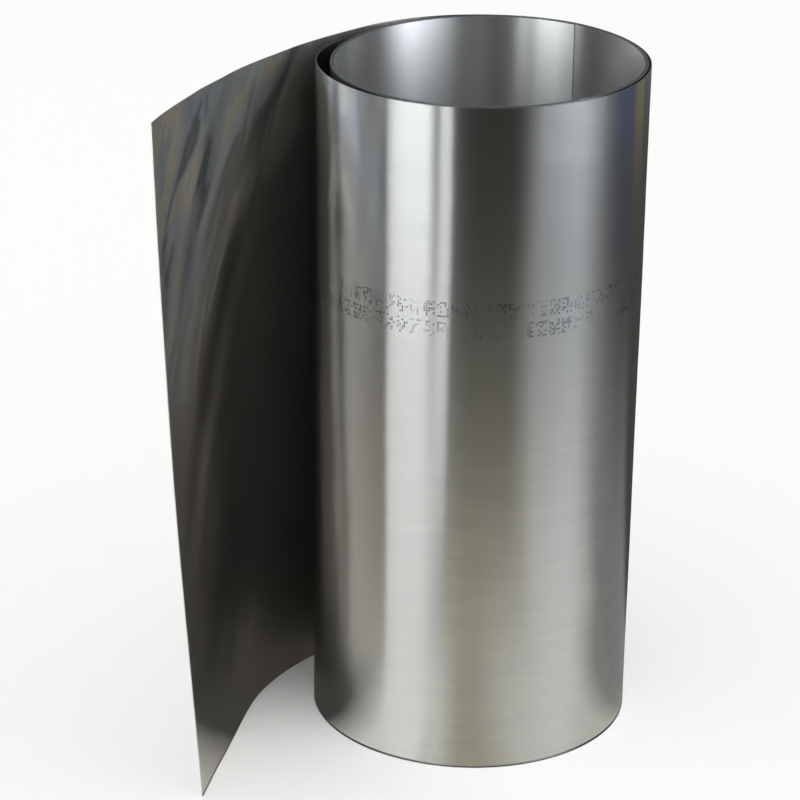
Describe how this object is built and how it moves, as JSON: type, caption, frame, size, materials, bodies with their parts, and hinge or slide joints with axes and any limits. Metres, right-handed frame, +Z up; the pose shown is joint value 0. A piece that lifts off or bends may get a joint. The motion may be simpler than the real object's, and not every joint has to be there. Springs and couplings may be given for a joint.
{
  "type": "shim stock roll",
  "caption": "Roll of thin bright metal shim sheet standing on end, wound tight round an open bore, with a loose outer turn and a free flap.",
  "frame": {"origin": "on the axis of the bore, at the floor that the roll stands on", "axes": "+Z up along the axis of the bore; -Y towards the side that the picture shows; the flap opens towards -X and -Y"},
  "size_m": [0.1022, 0.0867, 0.1524],
  "materials": {
    "bright_sheet": "bright cold-rolled sheet"
  },
  "bodies": {
    "root": {"shim_roll": "bright_sheet"}
  },
  "joints": []
}
